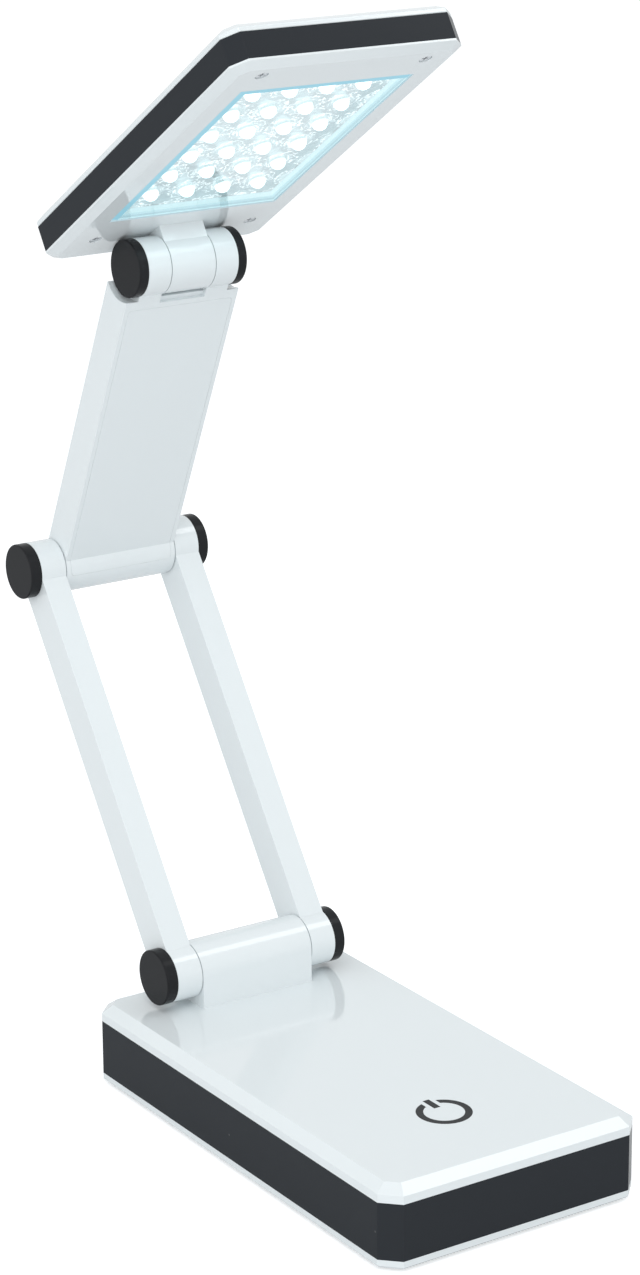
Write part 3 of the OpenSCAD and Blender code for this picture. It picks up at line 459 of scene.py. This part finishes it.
def make_edge_painted_line():
    """The pane's chamfer: a painted line of pale blue light that varies a little along its length."""
    material, tree, sockets = shader("pane_edge_painted_line", {
        "Emission Strength": 0.9, "Base Color": linear(40, 60, 70)})
    skin = place_group(tree, GRAIN, {
        "Colour": linear(150, 208, 226), "Tint": linear(135, 187.2, 203.4), "Tint share": 0.5,
        "Blotch scale": 300.0, "Smooth": 0.3, "Rough": 0.4})
    feed(tree, sockets["Emission Color"], skin["Colour"])
    feed(tree, sockets["Roughness"], skin["Roughness"])
    return material


def make_edge_painted_glow():
    """The pane's side walls, with the lights' glow painted on as emission, as on the walls below them."""
    material, tree, sockets = shader("pane_edge_painted_glow", {
        "Emission Strength": 1.0, "Base Color": WALL_COLOUR, "Roughness": 0.3})
    depth = place_group(tree, LIGHT_FIELD)["Depth"]
    feed(tree, sockets["Emission Color"], painted_wall_light(tree, depth))
    return material


TRAY = make_tray_with_painted_light()
PANE = make_pane()
LENS = make_lens()
EDGE_PAINTED_LINE = make_edge_painted_line()
EDGE_PAINTED_GLOW = make_edge_painted_glow()

# ---------------------------------------------------------------- every CAD node gets its finish

FINISHES = {
    "white_shell": WHITE, "dark_band": BAND, "black_cap": CAP, "printed_mark": MARK,
    "contact_metal": CONTACT, "circuit_board": BOARD, "black_parts": PARTS,
    "battery_sleeve": SLEEVE, "screw_steel": ZINC, "axle_steel": STEEL,
    "friction_washer": WASHER, "foot_rubber": RUBBER, "wire_insulation": WIRE,
    "clear_pane": PANE, "mirror_tray": TRAY, "led_lens": LENS,
}

for name, obj in NODES.items():
    obj.data.materials.clear()
    obj.data.materials.append(FINISHES[SLOT_OF[name]])


def stand_in(piece, name):
    """Puts a new piece in the place of a CAD node, on that node's body."""
    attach(piece, BODY_OF[name])
    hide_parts(name)


# ---------------------------------------------------------------- shells with soft edges

WELD = 0.01 * MM
FLAT_ANGLE = math.radians(0.6)
EDGE_ANGLE = math.radians(24)
ROUND_SEGMENTS = 3


def soften(name, place, widths):
    """A merged copy of a CAD node whose sharp edges get a small round: doubles welded, flat facets
    joined, then a Bevel. widths says an edge's width in millimetres from the place of its middle,
    in millimetres in the piece's own frame. The copy replaces the node."""
    mesh = NODES[name].data.copy()
    piece = bpy.data.objects.new(name + "_soft", mesh)
    bpy.context.scene.collection.objects.link(piece)
    work = bmesh.new()
    work.from_mesh(mesh)
    bmesh.ops.remove_doubles(work, verts=work.verts, dist=WELD)
    bmesh.ops.dissolve_limit(work, angle_limit=FLAT_ANGLE, verts=work.verts, edges=work.edges)
    to_piece = place.inverted()
    weight = work.edges.layers.float.new("bevel_weight_edge")
    chosen = {}
    for edge in work.edges:
        if len(edge.link_faces) == 2 and edge.calc_face_angle(0.0) > EDGE_ANGLE:
            middle = to_piece @ ((edge.verts[0].co + edge.verts[1].co) / 2)
            chosen[edge] = widths(*(middle / MM))
    widest = max(chosen.values())
    for edge, width in chosen.items():
        edge[weight] = width / widest
    for face in work.faces:
        face.smooth = True
    work.to_mesh(mesh)
    work.free()
    if "custom_normal" in mesh.attributes:
        mesh.attributes.remove(mesh.attributes["custom_normal"])
    mesh.set_sharp_from_angle(angle=EDGE_ANGLE)
    rounder = piece.modifiers.new("soft_edges", "BEVEL")
    rounder.limit_method = "WEIGHT"
    rounder.width = widest * MM
    rounder.segments = ROUND_SEGMENTS
    rounder.use_clamp_overlap = True
    rounder.harden_normals = True
    stand_in(piece, name)


# Places and widths of the functions that follow are in millimetres, in the piece's own frame.


def even(width):
    """The same width on every edge."""
    return lambda x, y, z: width


def near(value, target, slack):
    """Whether a place lies within a slack of another."""
    return abs(value - target) < slack


def outside(x, z, half_width, low_z, high_z):
    """Whether a place lies outside a rectangle that is centred across the piece."""
    return abs(x) > half_width or z < low_z or z > high_z


RIM_Z, ROOF_Z = 22.4, 24.8


def top_cover_widths(x, y, z):
    """Full round where the rim turns into the bevel, crisp lines elsewhere."""
    if near(z, RIM_Z, 0.5):
        return 1.3
    return 0.2 if near(z, ROOF_Z, 0.3) else 0.15


RAIL_FROM_Z, RAIL_TO_Z = 9, 120


def rail_widths(x, y, z):
    """Rounder along the rail than at its hinge faces."""
    return 0.45 if RAIL_FROM_Z < z < RAIL_TO_Z else 0.18


ARM_SIDE_X, ARM_FACE_Y, ARM_FROM_Z = 18.7, 5.5, 6


def arm_widths(x, y, z):
    """Round long corners, crisp hinge faces and cover seat."""
    if abs(x) > ARM_SIDE_X and abs(y) > ARM_FACE_Y and z > ARM_FROM_Z:
        return 0.9
    return 0.18


HEAD_FRONT_Y, HEAD_BAND_Y, HEAD_BACK_Y = FACE_Y / MM, 11.1, 22.1
# Half width and two ends, past which an edge belongs to the head's outline
BAND_OUTLINE, FACE_OUTLINE = (30, -8, 110), (32, -7, 109)
KNUCKLE_X, KNUCKLE_FROM_Z, KNUCKLE_TO_Z = 7.5, -7, 8


def head_front_widths(x, y, z):
    """Soft outline, a fillet where the knuckle's tab leaves the face, crisp hinge faces."""
    if near(y, HEAD_BAND_Y, 0.9) and outside(x, z, *BAND_OUTLINE):
        return 0.6
    if near(y, HEAD_FRONT_Y, 0.3):
        if abs(x) < KNUCKLE_X and KNUCKLE_FROM_Z < z < KNUCKLE_TO_Z:
            return 1.2
        return 1.3 if outside(x, z, *FACE_OUTLINE) else 0.25
    return 0.18


def head_back_widths(x, y, z):
    """Soft outline all round."""
    return 1.2 if near(y, HEAD_BACK_Y, 0.3) else 0.5


for name, place, widths in (
    ("base_top_cover", BASE, top_cover_widths), ("base_bottom_cover", BASE, even(0.3)),
    ("base_side_band", BASE, even(0.12)), ("battery_door", BASE, even(0.2)),
    ("left_rail", LOWER_ARM, rail_widths), ("right_rail", LOWER_ARM, rail_widths),
    ("left_rail_cover", LOWER_ARM, even(0.15)), ("right_rail_cover", LOWER_ARM, even(0.15)),
    ("base_hinge_caps", LOWER_ARM, even(0.4)), ("elbow_caps", LOWER_ARM, even(0.4)),
    ("upper_arm_housing", UPPER_ARM, arm_widths), ("upper_arm_cover", UPPER_ARM, even(0.2)),
    ("neck_caps", UPPER_ARM, even(0.4)),
    ("head_front_cover", HEAD, head_front_widths), ("head_back_cover", HEAD, head_back_widths),
    ("head_side_band", HEAD, even(0.12)), ("rubber_feet", BASE, even(0.3)),
):
    soften(name, place, widths)

# ---------------------------------------------------------------- window pane


def rounded_rectangle(half_w, half_l, radius, corner_points=6):
    """A closed loop round a rectangle: on each corner the angle runs over a quarter turn about a
    centre that lies one radius inside both edges. Returns (points, 2)."""
    quarter = np.linspace(0, np.pi / 2, corner_points)
    angles = (np.arange(4)[:, None] * np.pi / 2 + quarter).ravel()
    sign_x = np.repeat([1, -1, -1, 1], corner_points)
    sign_z = np.repeat([1, 1, -1, -1], corner_points)
    x = sign_x * (half_w - radius) + radius * np.cos(angles)
    z = sign_z * (half_l - radius) + radius * np.sin(angles)
    return np.stack([x, z], axis=1)


def stepped_slab(name, place, middle_z, half_w, half_l, steps, materials, step_slots):
    """A closed slab: each step (growth, shift, depth, radius) is a rounded rectangle, grown outwards
    and shifted to the right and down, at that depth. Walls join neighbouring steps, each with its
    material out of step_slots, and flat faces of the first material close the two ends."""
    loops = []
    for growth, shift, depth, radius in steps:
        loop = rounded_rectangle(half_w + growth, half_l + growth, radius)
        loops.append(np.insert(loop + [shift, middle_z - shift], 1, depth, axis=1))
    points = np.concatenate(loops)
    turn = np.array(place)
    points = points @ turn[:3, :3].T + turn[:3, 3]
    count = len(loops[0])
    start = np.arange(count)
    after = (start + 1) % count
    walls = [np.stack([start + a, after + a, after + a + count, start + a + count], axis=1)
             for a in count * np.arange(len(steps) - 1)]
    front, back = tuple(start[::-1]), tuple(start + count * (len(steps) - 1))
    mesh = bpy.data.meshes.new(name)
    mesh.from_pydata(points.tolist(), [], [front] + np.concatenate(walls).tolist() + [back])
    slots = np.concatenate([[0], np.repeat(step_slots, count), [0]])
    mesh.polygons.foreach_set("material_index", slots.astype(np.int32))
    for material in materials:
        mesh.materials.append(material)
    work = bmesh.new()
    work.from_mesh(mesh)
    bmesh.ops.recalc_face_normals(work, faces=work.faces)
    work.to_mesh(mesh)
    work.free()
    piece = bpy.data.objects.new(name, mesh)
    bpy.context.scene.collection.objects.link(piece)
    return piece


def make_window_pane():
    """The pane in its opening: chamfer and side walls, which carry the lights' glow as painted light, and flange.
    """
    low, high = span("window_pane", HEAD)
    flange, flange_t, gap = 1.2 * MM, 0.8 * MM, 0.08 * MM
    chamfer_w, chamfer_h, chamfer_shift = 1.5 * MM, 0.35 * MM, 0.9 * MM
    chamfer_radius, radius = 0.3 * MM, 0.5 * MM
    front, back = low[1], high[1]
    half_w = (high[0] - low[0]) / 2 - flange
    half_l = (high[2] - low[2]) / 2 - flange
    steps = [(-gap - chamfer_w, chamfer_shift, front, chamfer_radius),
             (-gap, 0, front + chamfer_h, radius), (-gap, 0, back - flange_t, radius),
             (flange, 0, back - flange_t, radius), (flange, 0, back, radius)]
    piece = stepped_slab("window_pane_lit", HEAD, (low[2] + high[2]) / 2, half_w, half_l, steps,
                         (PANE, EDGE_PAINTED_LINE, EDGE_PAINTED_GLOW), (1, 2, 0, 2))
    stand_in(piece, "window_pane")
    return piece


window = make_window_pane()

# ---------------------------------------------------------------- stage and light

FLOOR_HALF = 12.0
FLOOR_GLOW, FLOOR_IN_GLOSS = 0.5, 0.2
WORLD_LIGHT, WORLD_SEEN = 0.68, 1.0


def seen_ray(tree, in_gloss):
    """1 for a ray from the camera or through glass, in_gloss for one off gloss, else 0."""
    ray = node(tree, "LightPath").outputs
    direct = maths(tree, "MAXIMUM", ray["Is Camera Ray"], ray["Is Transmission Ray"])
    return maths(tree, "MAXIMUM", direct, times(tree, ray["Is Glossy Ray"], in_gloss))


def make_stage():
    """A pale floor that keeps the lamp's shadow and reads as white paper to the camera."""
    a = FLOOR_HALF
    corners = [(-a, -a, 0), (a, -a, 0), (a, a, 0), (-a, a, 0)]
    mesh = bpy.data.meshes.new("floor")
    mesh.from_pydata(corners, [], [(0, 1, 2, 3)])
    floor = bpy.data.objects.new("floor", mesh)
    bpy.context.scene.collection.objects.link(floor)
    material, tree, sockets = shader("pale_floor", {
        "Base Color": (0.82, 0.83, 0.84, 1), "Roughness": 0.9, "Specular IOR Level": 0.0,
        "Emission Color": (1, 1, 1, 1)})
    glow = times(tree, seen_ray(tree, FLOOR_IN_GLOSS), FLOOR_GLOW)
    feed(tree, sockets["Emission Strength"], glow)
    mesh.materials.append(material)


def make_world():
    """White to the camera, to gloss and through glass; a softer grey-white as a source of light."""
    world = bpy.data.worlds.new("studio")
    bpy.context.scene.world = world
    world.use_nodes = True
    tree = world.node_tree
    background = tree.nodes["Background"]
    strength = spread(tree, seen_ray(tree, 1.0), WORLD_LIGHT, WORLD_SEEN)
    feed(tree, background.inputs["Strength"], strength)
    background.inputs["Color"].default_value = (0.97, 0.99, 1.0, 1)


def add_lamp(name, at, aim, size, watts):
    """A square area lamp at one point, aimed at another, with its power in watts."""
    data = bpy.data.lights.new(name, "AREA")
    data.size = size
    data.energy = watts
    lamp = bpy.data.objects.new(name, data)
    lamp.location = at
    lamp.rotation_euler = (Vector(aim) - Vector(at)).to_track_quat("-Z", "Y").to_euler()
    bpy.context.scene.collection.objects.link(lamp)


HEAD_LIGHT_SIZE = (48 * MM, 76 * MM)
HEAD_LIGHT_WATTS = 0.014
HEAD_LIGHT_GAP = 0.3 * MM


def add_head_light(piece):
    """The light that the head throws: a faint panel just in front of the window, riding with it."""
    data = bpy.data.lights.new("head_light", "AREA")
    data.shape = "RECTANGLE"
    data.size, data.size_y = HEAD_LIGHT_SIZE
    data.energy = HEAD_LIGHT_WATTS
    data.color = (0.86, 0.98, 1.0)
    panel = bpy.data.objects.new("head_light", data)
    panel.visible_camera = False
    bpy.context.scene.collection.objects.link(panel)
    panel.parent = piece
    outwards = Matrix.Rotation(-math.pi / 2, 4, "X")
    at = Vector((0, FACE_Y - HEAD_LIGHT_GAP, LIGHTS_Z))
    panel.matrix_basis = HEAD @ Matrix.Translation(at) @ outwards


make_stage()
make_world()
add_head_light(window)
LAMP_MIDDLE = (0.0, 0.0, 0.15)
BASE_FRONT = (0.0, -0.1, 0.02)
add_lamp("key", (-0.7, -0.9, 1.5), LAMP_MIDDLE, 0.9, 5.0)
add_lamp("front", (-0.9, -1.7, 0.45), LAMP_MIDDLE, 1.8, 10.0)
add_lamp("glint", (0.92, -0.48, 1.4), BASE_FRONT, 0.5, 2.0)
add_lamp("left", (-1.6, 0.1, 0.5), LAMP_MIDDLE, 1.4, 4.5)

scene = bpy.context.scene
scene.view_settings.view_transform = "Standard"
